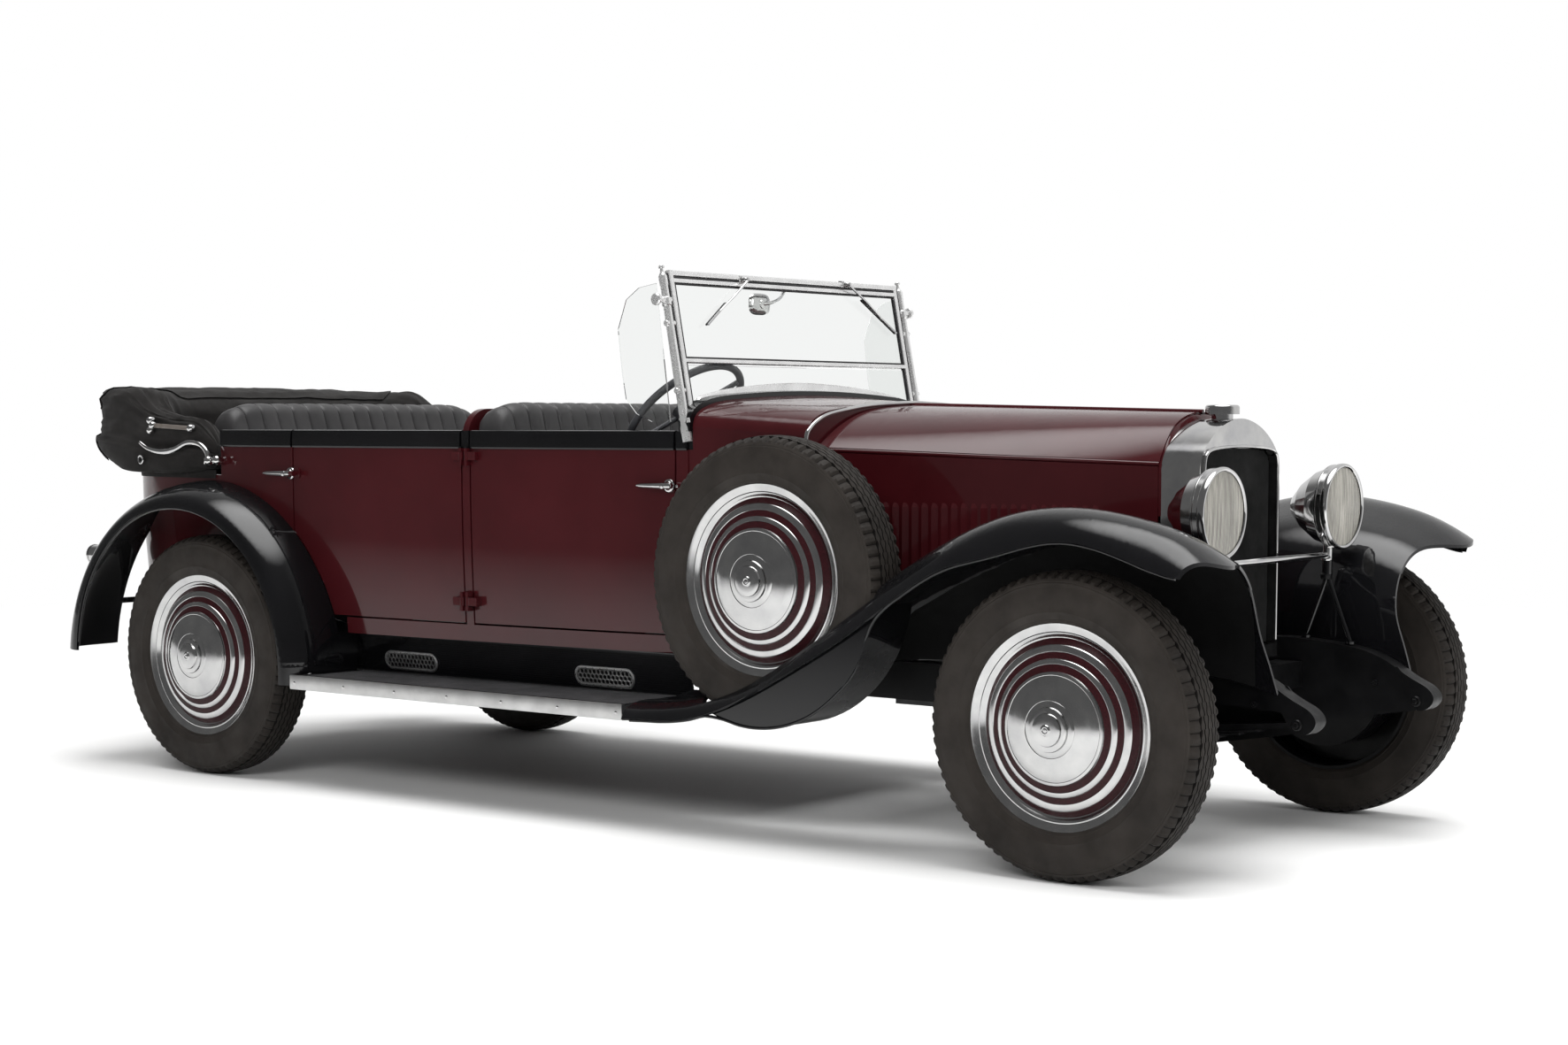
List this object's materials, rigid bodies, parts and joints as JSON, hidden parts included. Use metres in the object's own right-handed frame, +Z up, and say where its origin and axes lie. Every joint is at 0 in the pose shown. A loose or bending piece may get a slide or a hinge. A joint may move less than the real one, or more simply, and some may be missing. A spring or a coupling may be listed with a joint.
{
  "type": "1920s touring car",
  "caption": "Open four-door touring car with folded hood, side-mounted spare wheels, opening doors and bonnet, steered front wheels and turning wheels",
  "frame": {"origin": "on the ground under the middle of the car", "axes": "+X forward, +Y to the car's left, +Z up"},
  "size_m": [4.799, 1.82, 1.6521],
  "materials": {
    "tyre": "matt",
    "wheel": "gloss",
    "running_gear": "satin",
    "spring_steel": "satin",
    "engine": "matt",
    "exhaust": "matt",
    "black_paint": "gloss",
    "maroon_paint": "gloss",
    "nickel": "polished",
    "polished_aluminium": "polished",
    "glass": "clear",
    "lens_glass": "fluted",
    "leather": "satin",
    "hood_cloth": "matt",
    "dash_wood": "satin",
    "wheel_rim_grip": "satin"
  },
  "bodies": {
    "chassis": {"chassis_frame": "running_gear", "front_axle": "running_gear", "rear_axle": "running_gear", "leaf_springs": "spring_steel", "engine_block": "engine", "exhaust_pipe": "exhaust", "fuel_tank": "running_gear", "radiator_shell": "nickel", "radiator_core": "running_gear", "cowl": "maroon_paint", "body_tub": "maroon_paint", "front_seat": "leather", "rear_seat": "leather", "seat_back_panel": "maroon_paint", "dashboard": "dash_wood", "steering_column": "running_gear", "windscreen_frame": "nickel", "windscreen_glass": "glass", "hood_bag": "hood_cloth", "hood_irons": "nickel", "headlamps": "nickel", "headlamp_glasses": "lens_glass", "tail_lamps": "nickel", "front_wings": "black_paint", "rear_wings": "black_paint", "running_boards": "black_paint", "splash_aprons": "black_paint", "spare_tyres": "tyre", "spare_wheels": "wheel", "bonnet_side_right": "maroon_paint", "bonnet_side_left": "maroon_paint"},
    "bonnet_top_right": {"bonnet_top_right": "maroon_paint"},
    "door_front_right": {"door_front_right": "maroon_paint"},
    "door_rear_right": {"door_rear_right": "maroon_paint"},
    "knuckle_right": {"knuckle_right": "running_gear"},
    "wheel_front_right": {"wheel_front_right": "wheel", "tyre_front_right": "tyre"},
    "wheel_rear_right": {"wheel_rear_right": "wheel", "tyre_rear_right": "tyre"},
    "bonnet_top_left": {"bonnet_top_left": "maroon_paint"},
    "door_front_left": {"door_front_left": "maroon_paint"},
    "door_rear_left": {"door_rear_left": "maroon_paint"},
    "knuckle_left": {"knuckle_left": "running_gear"},
    "wheel_front_left": {"wheel_front_left": "wheel", "tyre_front_left": "tyre"},
    "wheel_rear_left": {"wheel_rear_left": "wheel", "tyre_rear_left": "tyre"},
    "track_rod": {"track_rod": "running_gear"},
    "steering_wheel": {"steering_wheel": "wheel_rim_grip"}
  },
  "joints": [
    {"name": "steer_right", "type": "hinge", "parent": "chassis", "child": "knuckle_right", "pos_m": [1.887, -0.63, 0.406], "axis": [0, 0, 1], "range_deg": [-30, 30]},
    {"name": "steer_left", "type": "hinge", "parent": "chassis", "child": "knuckle_left", "pos_m": [1.887, 0.63, 0.406], "axis": [0, 0, 1], "range_deg": [-30, 30]},
    {"name": "wheel_front_right_spin", "type": "hinge", "parent": "knuckle_right", "child": "wheel_front_right", "pos_m": [1.887, -0.77, 0.406], "axis": [0, 1, 0], "continuous": true},
    {"name": "wheel_front_left_spin", "type": "hinge", "parent": "knuckle_left", "child": "wheel_front_left", "pos_m": [1.887, 0.77, 0.406], "axis": [0, 1, 0], "continuous": true},
    {"name": "wheel_rear_right_spin", "type": "hinge", "parent": "chassis", "child": "wheel_rear_right", "pos_m": [-1.513, -0.77, 0.406], "axis": [0, 1, 0], "continuous": true},
    {"name": "wheel_rear_left_spin", "type": "hinge", "parent": "chassis", "child": "wheel_rear_left", "pos_m": [-1.513, 0.77, 0.406], "axis": [0, 1, 0], "continuous": true},
    {"name": "track_rod_pivot", "type": "hinge", "parent": "knuckle_right", "child": "track_rod", "pos_m": [1.717, -0.63, 0.308], "axis": [0, 0, 1], "range_deg": [-30, 30]},
    {"name": "steering_wheel_turn", "type": "hinge", "parent": "chassis", "child": "steering_wheel", "pos_m": [0.23, -0.36, 1.218], "axis": [-0.7071, 0, 0.7071], "range_deg": [-450, 450]},
    {"name": "bonnet_top_right_lift", "type": "hinge", "parent": "chassis", "child": "bonnet_top_right", "pos_m": [1.832, 0, 1.222], "axis": [-0.9997, 0, 0.0245], "range_deg": [0, 60]},
    {"name": "bonnet_top_left_lift", "type": "hinge", "parent": "chassis", "child": "bonnet_top_left", "pos_m": [1.832, 0, 1.222], "axis": [0.9997, 0, -0.0245], "range_deg": [0, 60]},
    {"name": "door_front_right_hinge", "type": "hinge", "parent": "chassis", "child": "door_front_right", "pos_m": [-0.391, -0.687, 0.85], "axis": [0, 0, -1], "range_deg": [0, 75]},
    {"name": "door_rear_right_hinge", "type": "hinge", "parent": "chassis", "child": "door_rear_right", "pos_m": [-0.415, -0.687, 0.85], "axis": [0, 0, 1], "range_deg": [0, 75]},
    {"name": "door_front_left_hinge", "type": "hinge", "parent": "chassis", "child": "door_front_left", "pos_m": [-0.391, 0.687, 0.85], "axis": [0, 0, 1], "range_deg": [0, 75]},
    {"name": "door_rear_left_hinge", "type": "hinge", "parent": "chassis", "child": "door_rear_left", "pos_m": [-0.415, 0.687, 0.85], "axis": [0, 0, -1], "range_deg": [0, 75]}
  ],
  "couplings": [
    {"joint": "steer_left", "follows": "steer_right", "ratio": 1},
    {"joint": "track_rod_pivot", "follows": "steer_right", "ratio": -1},
    {"joint": "steering_wheel_turn", "follows": "steer_right", "ratio": 15}
  ]
}
